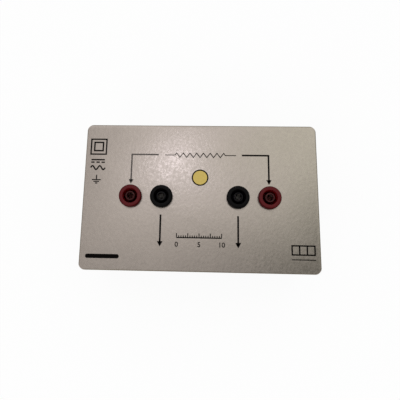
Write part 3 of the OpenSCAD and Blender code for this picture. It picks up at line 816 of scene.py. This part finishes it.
def drill(place, radius, low, high, lip=0.2 * MM):
    """Adds a cutter for a hole between two heights that also breaks its edges."""
    return turned("drill", place, [
        (0, low - lip, 0), (radius + 2 * lip, low - lip, 0), (radius, low + lip, 0),
        (radius, high - lip, 0), (radius + 2 * lip, high + lip, 0), (0, high + lip, 0)])


def hexagon_nut(name, place, across, bore, low, high):
    """Adds a nut with its corners turned off on both faces and a chamfered bore."""
    corner = across / math.sqrt(3)
    face_r = 0.48 * across
    drop = 0.6 * (corner - face_r) + 0.3 * MM
    past = corner + 0.1 * MM
    nut = round_bar(name, place, corner, low, high, sides=6, turn=math.radians(30))
    cut(nut, turned("corners", place, [
        (0, low, 0), (face_r, low, 0), (past, low + drop, 0),
        (past, high - drop, 0), (face_r, high, 0), (0, high, 0)]), "INTERSECT")
    cut(nut, drill(place, bore + thread_gap, low, high, lip=0.3 * MM))
    return nut


for socket, place in socket_place.items():
    nut = hexagon_nut(socket + "_panel_nut", place, panel_across, barrel_r,
                      panel_low.z, panel_high.z)
    fit_piece(nut, nickel, "nickel", "panel_nuts")

# Bus bars. Milled from hard brass and drilled for a stud and a sense screw, with a slot
# in the inner side that the resistance strip is brazed into.
strip_low, strip_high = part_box("resistance_strip")
strip_t = 0.5 * MM
strip_level = strip_high.z - strip_t / 2
braze_gap = Vector((0.05, 0.05, 0.3)) * MM
bar_edge = 0.2 * MM
stud_hole_r = 2.75 * MM
sense_hole_r = 1.5 * MM
bar_inner_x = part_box("right_bus_bar")[0].x
sense_place = {side: Vector((socket_place["red_" + side].x, axis("sense_screws").y, 0))
               for side in ("left", "right")}


def worked_metal(name, dark, light, gloss, grain):
    """Metal with straight tool marks, browned on both sides of where it was brazed."""
    metal = Finish(name)
    marks = metal.noise(0.1, 1, metal.stretched(*grain))
    cloud = metal.noise(4, 3)
    x = metal.axes(metal.place)[0]
    heat = 1 - metal.rise(abs(abs(x) - bar_inner_x), 1.5 * MM, 6 * MM)
    return metal.coat(0.7 * heat, metal.blend(cloud, dark, light), (0.25, 0.13, 0.07),
                      marks, 0.006, Metallic=1.0, Roughness=gloss + 0.12 * cloud + 0.2 * heat)


milled_brass = worked_metal("milled_brass", (0.58, 0.39, 0.14), (0.74, 0.53, 0.24), 0.24,
                            (1, 0.02, 1))
for side in ("left", "right"):
    low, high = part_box(side + "_bus_bar")
    bar = block("brass_bar_" + side, low, high)
    bevel((lambda edge: True, bar_edge, 2))
    cut(bar, drill(socket_place["red_" + side], stud_hole_r, low.z, high.z))
    cut(bar, drill(sense_place[side], sense_hole_r, low.z, high.z))
    cut(bar, block("slot", Vector((strip_low.x, strip_low.y, strip_level)) - braze_gap,
                   Vector((strip_high.x, strip_high.y, strip_level)) + braze_gap))
    fit_piece(bar, milled_brass, "bus_brass", side + "_bus_bar")

# Resistance strip. Rolled manganin, folded to hang clear of the floor and brazed into the
# bars. The heat has browned its two ends.
fold_count = 3
bend_r = 4 * MM
fold_low = strip_low.z + strip_t / 2
strip_route = [(strip_low.x, strip_level)]
for fold in range(fold_count):
    x = (4 * fold - 2 * fold_count + 1) * bend_r
    strip_route += [(x, strip_level), (x, fold_low),
                    (x + 2 * bend_r, fold_low), (x + 2 * bend_r, strip_level)]
strip_route += [(strip_high.x, strip_level)]

strip = chain("manganin_strip", [Vector((x, strip_low.y, z)) for x, z in strip_route])
select("VERT", lambda part: len(part.link_edges) == 2)
bpy.ops.mesh.bevel(affect="VERTICES", offset=0.998 * bend_r, segments=8)
bpy.ops.mesh.select_all(action="SELECT")
pull(0, strip_high.y - strip_low.y, 0)
thicken(strip, strip_t)
manganin = worked_metal("rolled_manganin", (0.44, 0.33, 0.25), (0.56, 0.44, 0.36), 0.22,
                        (0.02, 1, 0.02))
fit_piece(strip, manganin, "manganin", "resistance_strip")

# Stud washers. Punched from zinc-plated steel, one on each socket's stud: under the bar
# on the red sockets, and under the ring terminal on the black ones.
washer_r = 5 * MM
washer_t = 1 * MM
terminal_t = 0.8 * MM
bar_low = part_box("left_bus_bar")[0].z
seat = {socket: bar_low if tint == "red" else collar_low - terminal_t
        for socket, tint in SOCKETS.items()}


def plated_steel(name, dark, light, gloss):
    """Zinc plate with a faint bluish cloud and fine crystals."""
    metal = Finish(name)
    cloud = metal.noise(1.8, 3)
    crystal = metal.noise(0.25)
    return metal.coat(cloud, dark, light, crystal, 0.008, Metallic=1.0,
                      Roughness=gloss + 0.14 * cloud)


bright_zinc = plated_steel("bright_zinc", (0.50, 0.52, 0.55), (0.66, 0.67, 0.68), 0.26)
for socket, place in socket_place.items():
    top = seat[socket]
    washer = turned(socket + "_washer", place, [
        (stud_hole_r, top - washer_t, 0.15 * MM), (washer_r, top - washer_t, 0.2 * MM),
        (washer_r, top, 0.1 * MM), (stud_hole_r, top, 0.1 * MM)], hollow=True)
    fit_piece(washer, bright_zinc, "zinc_steel", "stud_washers")

# Stud lock washers. Wound from square spring steel and cut across, then zinc plated. The
# nut presses them flat against the washer.
lock_r = 4.6 * MM
lock_t = 1.2 * MM
lock_split = 1 * MM


def split_washer(name, place, inner, outer, low, high):
    """Adds a washer with square edges that is split towards the right."""
    ring = turned(name, place, [
        (inner, low, 0.06 * MM), (outer, low, 0.06 * MM),
        (outer, high, 0.06 * MM), (inner, high, 0.06 * MM)], hollow=True)
    cut(ring, block("split", place + Vector((0, -lock_split / 2, low - MM)),
                    place + Vector((2 * outer, lock_split / 2, high + MM))))
    return ring


spring_zinc = plated_steel("spring_zinc", (0.34, 0.35, 0.37), (0.46, 0.47, 0.48), 0.3)
for socket, place in socket_place.items():
    top = seat[socket] - washer_t
    ring = split_washer(socket + "_lock_washer", place, stud_hole_r, lock_r, top - lock_t, top)
    fit_piece(ring, spring_zinc, "zinc_steel", "stud_lock_washers")

# Stud nuts. Zinc-plated steel hexagons, one on each socket's stud. They clamp the bars on
# the red sockets and the ring terminals on the black ones.
stud_nut_across = 8 * MM
stud_nut_t = 4 * MM
for socket, place in socket_place.items():
    top = seat[socket] - washer_t - lock_t
    nut = hexagon_nut(socket + "_stud_nut", place, stud_nut_across, stud_r,
                      top - stud_nut_t, top)
    fit_piece(nut, bright_zinc, "zinc_steel", "stud_nuts")

# Sense screws. Zinc-plated steel with slotted cheese heads, screwed down into the bars
# just in front of the strip, where the voltage is tapped.
sense_r = 1.45 * MM
sense_pitch = 0.5 * MM
sense_thread = 0.25 * MM
sense_lead = 0.3 * MM
sense_neck = 1.2 * MM
head_r = 2.75 * MM
head_h = 2 * MM
slot_width = 0.8 * MM
screw_low, screw_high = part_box("sense_screws")
head_low = screw_high.z - head_h
sense_outline = [(0, screw_low.z, 0), (sense_r - sense_lead, screw_low.z, 0)]
sense_outline += thread(sense_r, sense_thread, sense_pitch, screw_low.z + sense_lead,
                        head_low - sense_neck)
sense_outline += [(sense_r, head_low, 0), (head_r, head_low, 0.1 * MM),
                  (head_r, screw_high.z, 0.3 * MM), (0, screw_high.z, 0)]
for side, place in sense_place.items():
    screw = turned("sense_screw_" + side, place, sense_outline)
    cut(screw, block("slot", place + Vector((-2 * head_r, -slot_width / 2, head_low + head_h / 2)),
                     place + Vector((2 * head_r, slot_width / 2, screw_high.z + MM))))
    fit_piece(screw, bright_zinc, "zinc_steel", "sense_screws")

# Sense lock washers. The same kind as on the studs, but smaller, one under each screw's
# head.
lock_hole_r = 1.7 * MM
lock_low, lock_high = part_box("sense_lock_washers")
for side, place in sense_place.items():
    ring = split_washer("sense_lock_washer_" + side, place, lock_hole_r, head_r,
                        lock_low.z, lock_high.z)
    fit_piece(ring, spring_zinc, "zinc_steel", "sense_lock_washers")

# Ring terminals. Stamped from tinned copper and rolled into a crimp for the wire. Two lie
# on the bars, and two hang upside down from the collars of the black sockets.
crimp_r = 1.5 * MM
crimp_long = 4.5 * MM
crimp_bore_r = 0.85 * MM
crimp_level = 1.9 * MM
crimp_dent = Vector((1.1, 0, 1.35)) * MM
dent_r = 1.6 * MM
neck_half = 1.3 * MM
neck_long = 0.8 * MM
sleeve_grip = 2.5 * MM
bar_ring_r = 3.1 * MM
stud_ring_r = 4.8 * MM
seat_level = Vector((0, 0, collar_low))
terminals = {}
for side, across in (("left", 0), ("right", math.pi)):
    terminals[side + "_bar_terminal"] = (
        sense_place[side] + seat_level, (0, 0, across), bar_ring_r, lock_hole_r)
    terminals[side + "_stud_terminal"] = (
        socket_place["black_" + side] + seat_level, (math.pi, 0, across), stud_ring_r, stud_hole_r)


def put(piece, place, turn):
    """Turns a piece that was made at the origin and moves it to its place."""
    take(piece)
    piece.location = place
    piece.rotation_euler = turn
    bpy.ops.object.transform_apply()


origin = Vector((0, 0, 0))
tinned_copper = turned_metal("tinned_copper", (0.58, 0.57, 0.54), (0.70, 0.69, 0.66), 0.25, 0.3)
for node, (place, turn, ring_r, hole_r) in terminals.items():
    crimp_start = ring_r + neck_long
    crimp_end = crimp_start + crimp_long
    terminal = turned(node + "_body", origin, [
        (0, 0, 0), (ring_r, 0, 0.1 * MM), (ring_r, terminal_t, 0.1 * MM), (0, terminal_t, 0)])
    cut(terminal, block("neck", (0, -neck_half, 0),
                        (crimp_end - sleeve_grip - 0.05 * MM, neck_half, terminal_t)), "UNION")
    barrel = turned("barrel", origin, [
        (crimp_bore_r, crimp_start, 0.1 * MM), (crimp_r, crimp_start, 0.15 * MM),
        (crimp_r, crimp_end, 0.15 * MM), (crimp_bore_r, crimp_end, 0.1 * MM)], hollow=True)
    bore = round_bar("bore", origin, crimp_bore_r, crimp_start - MM, crimp_end + MM)
    for form, operation in ((barrel, "UNION"), (bore, "DIFFERENCE")):
        put(form, (0, 0, crimp_level), (0, math.pi / 2, 0))
        cut(terminal, form, operation)
    cut(terminal, drill(origin, hole_r, 0, terminal_t))
    dent = round_bar("dent", origin, dent_r, -2 * MM, 2 * MM)
    put(dent, crimp_dent + Vector((crimp_start, 0, crimp_level + crimp_r)), (math.pi / 2, 0, 0))
    cut(terminal, dent)
    put(terminal, place, turn)
    fit_piece(terminal, tinned_copper, "tin", node)

# Sense wires. Stranded copper in red silicone, soft enough for a loop that leaves slack
# between the terminal on the bar and the one under the black socket.
wire_r = 0.8 * MM
sleeve_long = 5.5 * MM
wire_end_gap = 0.05 * MM
wire_end = crimp_long - sleeve_grip + sleeve_long + wire_end_gap
loop_reach = 9 * MM


def crimp_point(node, along):
    """The point on a crimp's axis at a distance from the crimp's start."""
    place, turn, ring_r, hole_r = terminals[node]
    way = math.copysign(ring_r + neck_long + along, -place.x)
    return place + Vector((way, 0, -crimp_level if turn[0] else crimp_level))


silicone = Finish("red_silicone")
dust = silicone.noise(1.2, 4)
skin = silicone.noise(0.2)
red_silicone = silicone.coat(dust, (0.40, 0.016, 0.014), (0.52, 0.035, 0.03), skin, 0.01,
                             Roughness=0.42 + 0.2 * dust, Specular_IOR_Level=0.4)
for side in ("left", "right"):
    bar_node, stud_node = side + "_bar_terminal", side + "_stud_terminal"
    ends = [crimp_point(bar_node, 0), crimp_point(bar_node, wire_end),
            crimp_point(stud_node, wire_end), crimp_point(stud_node, 0)]
    turn_x = ends[2].x + math.copysign(loop_reach, -ends[2].x)
    wire = add("sense_wire_" + side, bpy.ops.curve.primitive_bezier_curve_add)
    wire.data.dimensions = "3D"
    wire.data.bevel_depth = wire_r
    wire.data.bevel_resolution = 3
    wire.data.resolution_u = 24
    wire.data.use_fill_caps = True
    spline = wire.data.splines[0]
    spline.bezier_points.add(2)
    for point, end in zip(spline.bezier_points, ends):
        point.handle_left_type = point.handle_right_type = "FREE"
        point.co = point.handle_left = point.handle_right = end
    spline.bezier_points[1].handle_right = Vector((turn_x, ends[1].y, ends[1].z))
    spline.bezier_points[2].handle_left = Vector((turn_x, ends[2].y, ends[2].z))
    bpy.ops.object.convert(target="MESH")
    fit_piece(wire, red_silicone, "wire_red", side + "_sense_wire")

# Heat shrink sleeves. Black polyolefin tube, shrunk over the end of each crimp and the
# wire that comes out of it.
sleeve_wall = 0.3 * MM
sleeve_wide = 1.55 * MM
sleeve_narrow = 0.85 * MM
taper_start = sleeve_grip + 0.05 * MM
taper_end = taper_start + 0.7 * MM
sleeve_outline = [
    (sleeve_wide, 0, 0), (sleeve_wide + sleeve_wall, 0, 0.1 * MM),
    (sleeve_wide + sleeve_wall, taper_start + sleeve_wall, 0.2 * MM),
    (sleeve_narrow + sleeve_wall, taper_end + sleeve_wall, 0.2 * MM),
    (sleeve_narrow + sleeve_wall, sleeve_long, 0.1 * MM), (sleeve_narrow, sleeve_long, 0),
    (sleeve_narrow, taper_end, 0.1 * MM), (sleeve_wide, taper_start, 0.1 * MM)]
film_skin = Finish("shrunk_polyolefin")
ripple = film_skin.noise(0.7, 2, film_skin.stretched(1, 0.3, 0.3))
shrunk = film_skin.coat(ripple, (0.012, 0.012, 0.013), (0.022, 0.022, 0.024), ripple, 0.05,
                        Roughness=0.34 + 0.2 * ripple, Specular_IOR_Level=0.4)
for node, (place, turn, ring_r, hole_r) in terminals.items():
    sleeve = turned(node + "_sleeve", origin, sleeve_outline, hollow=True)
    sleeve_start = ring_r + neck_long + crimp_long - sleeve_grip
    put(sleeve, (sleeve_start, 0, crimp_level), (0, math.pi / 2, 0))
    put(sleeve, place, turn)
    fit_piece(sleeve, shrunk, "sleeve", "heat_shrink_sleeves")

# Lower shell. Moulded in the lid's plastic, with four screw pillars, slots in the rear wall
# and the floor that let warm air through, and a recess under each corner for a foot.
tub_low, tub_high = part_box("case_tub")
tub_edge = 1 * MM
floor_top = tub_low.z + 2.5 * MM
pillar_r = 5.25 * MM
pillar_top = insert_low.z - 0.1 * MM
head_seat = 22 * MM
head_hole_r = 3.55 * MM
head_hole_lead = 1.2 * MM
shank_hole_r = 1.95 * MM
vent_w = 2 * MM
vent_pitch = 6 * MM
rear_vent = 16 * MM
floor_vent = 24 * MM
recess_r = 6.15 * MM
recess_h = 1.2 * MM
foot_place = {foot: axis(foot) for foot in
              ("front_left_foot", "front_right_foot", "rear_left_foot", "rear_right_foot")}


def deep(edge):
    return abs(edge.verts[0].co.y - edge.verts[1].co.y) > TINY


def vent(count, low, high, sides):
    """Cuts a row of slots through the shell, the middle one between the two corners."""
    for i in range(count):
        shift = Vector(((i - (count - 1) / 2) * vent_pitch, 0, 0))
        slot = block("slot", shift + Vector(low), shift + Vector(high))
        bevel((sides, 0.499 * vent_w, 6))
        cut(tub, slot)


tub = block("moulded_shell", tub_low, tub_high)
bevel((upright, case_corner, 10), (at_height(tub_low.z), tub_edge, 3),
      (at_height(tub_high.z), seam, 1))
step(tub_high.z, wall - seam, floor_top - tub_high.z)
for place in insert_places:
    cut(tub, round_bar("pillar", place, pillar_r, floor_top - MM, pillar_top), "UNION")
    cut(tub, turned("counterbore", place, [
        (0, tub_low.z - MM, 0), (head_hole_r + head_hole_lead, tub_low.z - MM, 0),
        (head_hole_r, tub_low.z + 0.2 * MM, 0), (head_hole_r, head_seat, 0),
        (shank_hole_r, head_seat, 0), (shank_hole_r, pillar_top + MM, 0), (0, pillar_top + MM, 0)]))
for place in foot_place.values():
    cut(tub, round_bar("recess", place, recess_r, tub_low.z - MM, tub_low.z + recess_h))
vent_level = (strip_level + fold_low) / 2
vent(9, (-vent_w / 2, tub_high.y - 2 * wall, vent_level - rear_vent / 2),
     (vent_w / 2, tub_high.y + wall, vent_level + rear_vent / 2), deep)
strip_middle = axis("resistance_strip").y
vent(7, (-vent_w / 2, strip_middle - floor_vent / 2, tub_low.z - MM),
     (vent_w / 2, strip_middle + floor_vent / 2, floor_top + MM), upright)
fit_piece(tub, charcoal, "case", "case_tub")

# Case screws. Zinc-plated steel with cross slots, driven up through the pillars into the
# inserts, so that the lid is held from below.
case_low, case_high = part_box("case_screws")
shank_r = 1.7 * MM
shank_pitch = 0.7 * MM
shank_thread = 0.3 * MM
shank_plain = 8 * MM
shank_lead = 0.5 * MM
case_head_r = 3.3 * MM
case_outline = [(0, case_low.z, 0), (case_head_r, case_low.z, 0.9 * MM),
                (case_head_r, head_seat, 0.1 * MM), (shank_r, head_seat, 0)]
case_outline += thread(shank_r, shank_thread, shank_pitch, head_seat + shank_plain,
                       case_high.z - shank_lead)
case_outline += [(shank_r - shank_lead, case_high.z, 0), (0, case_high.z, 0)]
for number, place in enumerate(insert_places, 1):
    screw = turned(f"case_screw_{number}", place, case_outline)
    for arm in (Vector((case_head_r / 2, slot_width / 2, 0)),
                Vector((slot_width / 2, case_head_r / 2, 0))):
        cut(screw, block("slot", place - arm + Vector((0, 0, case_low.z - MM)),
                         place + arm + Vector((0, 0, (case_low.z + head_seat) / 2))))
    fit_piece(screw, bright_zinc, "zinc_steel", "case_screws")

# Feet. Black rubber discs, moulded with a shallow dish under them, and glued into the
# recesses of the shell.
foot_r = 6 * MM
dish_r = 3.2 * MM
dish_edge_r = 3.6 * MM
dish_h = 0.4 * MM
foot_low, foot_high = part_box("front_left_foot")
rubber_skin = Finish("black_rubber")
dust = rubber_skin.noise(1.5, 4)
skin = rubber_skin.noise(0.3)
# On the rubber this share is wear alone, paler where the dust is thick.
wear_and_painted_glare = rubber_skin.rise(dust, 0.5, 0.75)
black_rubber = rubber_skin.coat(wear_and_painted_glare, (0.014, 0.014, 0.014), (0.050, 0.047, 0.043), skin, 0.03,
                                Roughness=0.7 + 0.15 * skin, Specular_IOR_Level=0.3)
for node, place in foot_place.items():
    foot = turned(node + "_disc", place, [
        (0, foot_low.z + dish_h, 0), (dish_r, foot_low.z + dish_h, 0.2 * MM),
        (dish_edge_r, foot_low.z, 0.1 * MM), (foot_r, foot_low.z, 0.6 * MM),
        (foot_r, foot_high.z, 0.1 * MM), (0, foot_high.z, 0)])
    fit_piece(foot, black_rubber, "foot_rubber", node)
